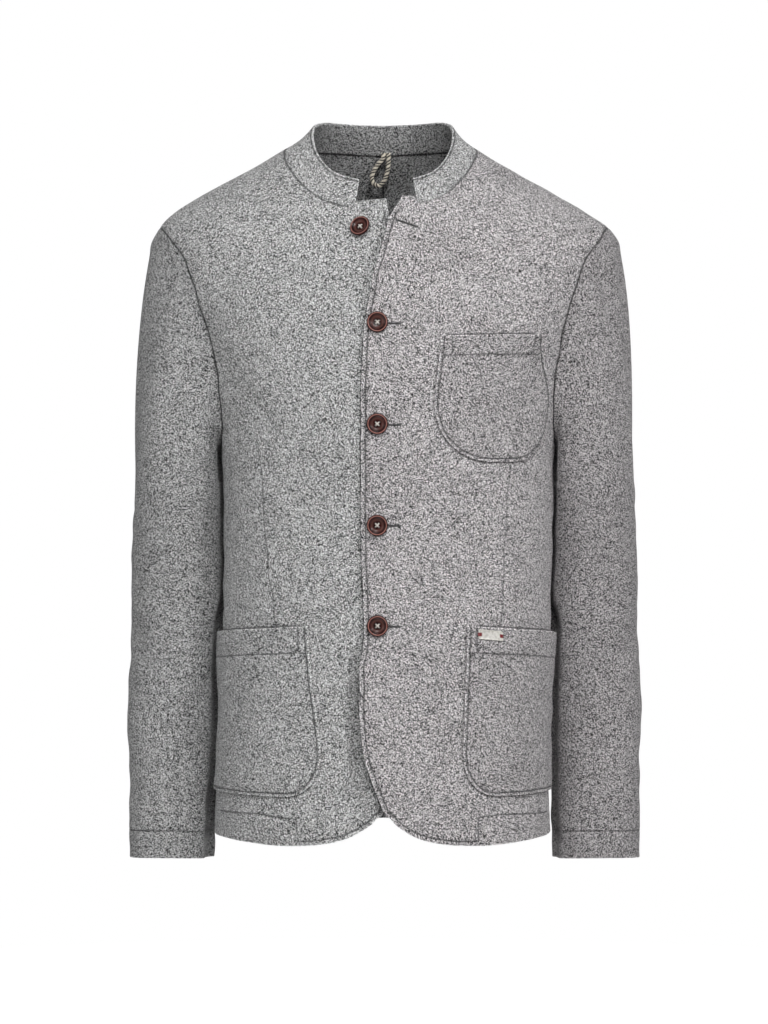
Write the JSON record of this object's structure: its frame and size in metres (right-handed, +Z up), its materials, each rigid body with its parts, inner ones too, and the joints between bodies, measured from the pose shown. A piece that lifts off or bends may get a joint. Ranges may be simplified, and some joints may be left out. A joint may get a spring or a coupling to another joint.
{
  "type": "stand-collar blazer",
  "caption": "Hip-length stand-collar blazer in felted wool, filled out as worn, with patch pockets, two-piece sleeves and a buttoned front open at the neck.",
  "frame": {"origin": "in the neck opening, level with the shoulder seams' inner ends and on the middle line, where the wearer's neck and shoulders hold the garment", "axes": "+Z up the wearer's body, +X towards the wearer's left side, -Y the way the wearer faces"},
  "size_m": [0.5332, 0.2862, 0.767],
  "materials": {
    "front_left": "felted grey melange wool",
    "front_right": "felted grey melange wool",
    "back_left": "felted grey melange wool",
    "back_right": "felted grey melange wool",
    "top_sleeve_left": "felted grey melange wool",
    "top_sleeve_right": "felted grey melange wool",
    "under_sleeve_left": "felted grey melange wool",
    "under_sleeve_right": "felted grey melange wool",
    "collar": "felted grey melange wool",
    "pocket_chest": "felted grey melange wool",
    "pocket_left": "felted grey melange wool",
    "pocket_right": "felted grey melange wool",
    "button_1": "polished dark red-brown",
    "button_2": "polished dark red-brown",
    "button_3": "polished dark red-brown",
    "button_4": "polished dark red-brown",
    "button_5": "polished dark red-brown",
    "plate": "satin, bare",
    "hanger_loop": "twisted two-colour cord"
  },
  "bodies": {
    "root": {"front_left": "front_left", "front_right": "front_right", "back_left": "back_left", "back_right": "back_right", "top_sleeve_left": "top_sleeve_left", "top_sleeve_right": "top_sleeve_right", "under_sleeve_left": "under_sleeve_left", "under_sleeve_right": "under_sleeve_right", "collar": "collar", "pocket_chest": "pocket_chest", "pocket_left": "pocket_left", "pocket_right": "pocket_right", "button_1": "button_1", "button_2": "button_2", "button_3": "button_3", "button_4": "button_4", "button_5": "button_5", "plate": "plate", "hanger_loop": "hanger_loop"}
  },
  "joints": []
}
